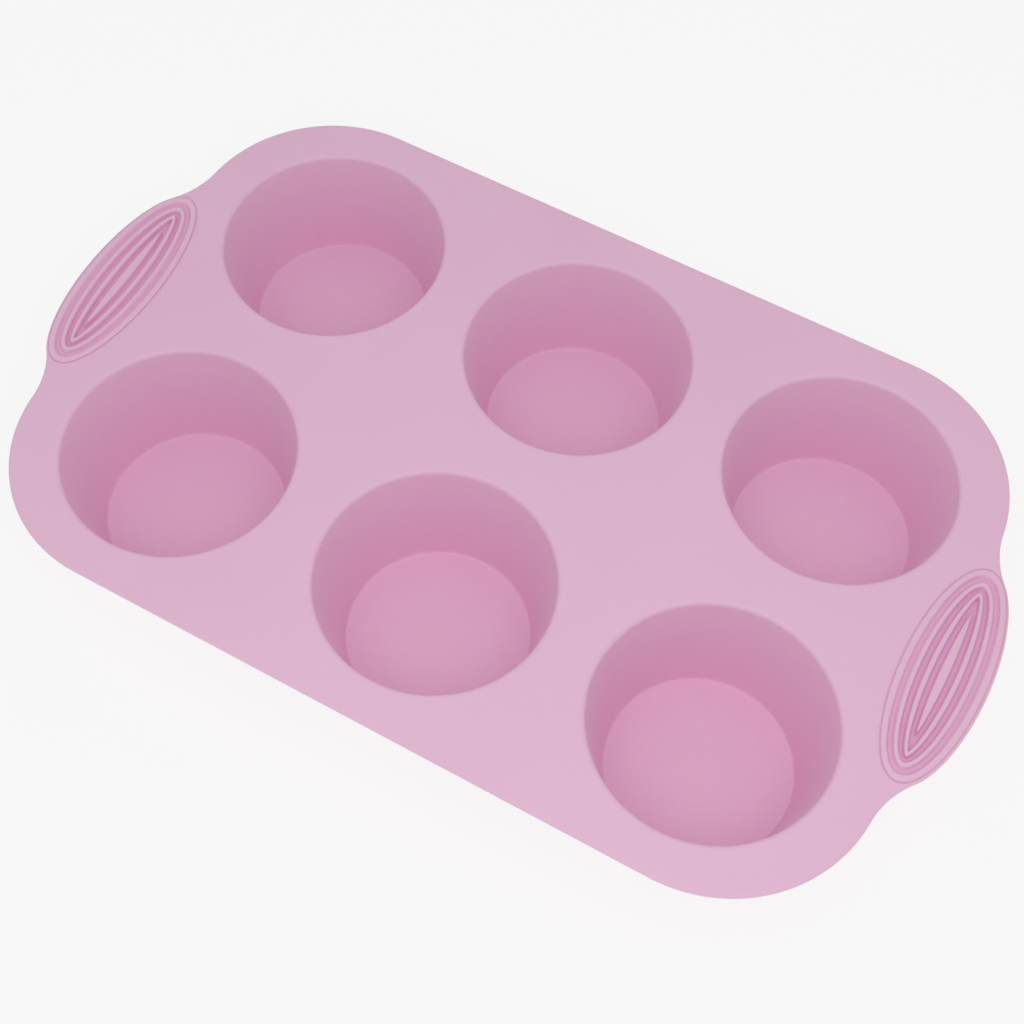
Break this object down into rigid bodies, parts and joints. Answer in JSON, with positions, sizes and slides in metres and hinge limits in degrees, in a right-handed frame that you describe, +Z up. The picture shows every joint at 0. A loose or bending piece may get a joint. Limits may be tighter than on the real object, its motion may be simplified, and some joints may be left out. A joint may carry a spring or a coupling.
{
  "type": "silicone soap mould",
  "caption": "Flexible tray mould with rows of tapered round cups in a thin rounded deck, and a raised, grooved oval grip at each end.",
  "frame": {"origin": "on the table under the middle of the deck; the cups stand on the plane z = 0", "axes": "+X along the length from the left handle to the right one, +Y to the back row of cups, +Z up, out of the cups' mouths"},
  "size_m": [0.3014, 0.1824, 0.0396],
  "materials": {
    "silicone": "matt"
  },
  "bodies": {
    "middle": {"deck_middle": "silicone", "cup_middle_front_wall": "silicone", "cup_middle_back_wall": "silicone"},
    "left": {"deck_left": "silicone", "cup_left_front_wall": "silicone", "cup_left_back_wall": "silicone"},
    "right": {"deck_right": "silicone", "cup_right_front_wall": "silicone", "cup_right_back_wall": "silicone"},
    "handle_left": {"handle_left": "silicone"},
    "handle_right": {"handle_right": "silicone"},
    "cup_left_front_floor": {"cup_left_front_floor": "silicone"},
    "cup_middle_front_floor": {"cup_middle_front_floor": "silicone"},
    "cup_right_front_floor": {"cup_right_front_floor": "silicone"},
    "cup_left_back_floor": {"cup_left_back_floor": "silicone"},
    "cup_middle_back_floor": {"cup_middle_back_floor": "silicone"},
    "cup_right_back_floor": {"cup_right_back_floor": "silicone"}
  },
  "joints": [
    {"name": "fold_left", "type": "hinge", "parent": "middle", "child": "left", "pos_m": [-0.04375, 0, 0.038], "axis": [0, 1, 0], "range_deg": [-30, 60], "stiffness_Nm_per_rad": 0.02},
    {"name": "fold_right", "type": "hinge", "parent": "middle", "child": "right", "pos_m": [0.04375, 0, 0.038], "axis": [0, -1, 0], "range_deg": [-30, 60], "stiffness_Nm_per_rad": 0.02},
    {"name": "bend_left", "type": "hinge", "parent": "left", "child": "handle_left", "pos_m": [-0.12654, 0, 0.038], "axis": [0, 1, 0], "range_deg": [-60, 60], "stiffness_Nm_per_rad": 0.03},
    {"name": "bend_right", "type": "hinge", "parent": "right", "child": "handle_right", "pos_m": [0.12654, 0, 0.038], "axis": [0, -1, 0], "range_deg": [-60, 60], "stiffness_Nm_per_rad": 0.03},
    {"name": "push_left_front", "type": "slide", "parent": "left", "child": "cup_left_front_floor", "axis": [0, 0, 1], "range_m": [0, 0.015], "stiffness_N_per_m": 150},
    {"name": "push_middle_front", "type": "slide", "parent": "middle", "child": "cup_middle_front_floor", "axis": [0, 0, 1], "range_m": [0, 0.015], "stiffness_N_per_m": 150},
    {"name": "push_right_front", "type": "slide", "parent": "right", "child": "cup_right_front_floor", "axis": [0, 0, 1], "range_m": [0, 0.015], "stiffness_N_per_m": 150},
    {"name": "push_left_back", "type": "slide", "parent": "left", "child": "cup_left_back_floor", "axis": [0, 0, 1], "range_m": [0, 0.015], "stiffness_N_per_m": 150},
    {"name": "push_middle_back", "type": "slide", "parent": "middle", "child": "cup_middle_back_floor", "axis": [0, 0, 1], "range_m": [0, 0.015], "stiffness_N_per_m": 150},
    {"name": "push_right_back", "type": "slide", "parent": "right", "child": "cup_right_back_floor", "axis": [0, 0, 1], "range_m": [0, 0.015], "stiffness_N_per_m": 150}
  ]
}
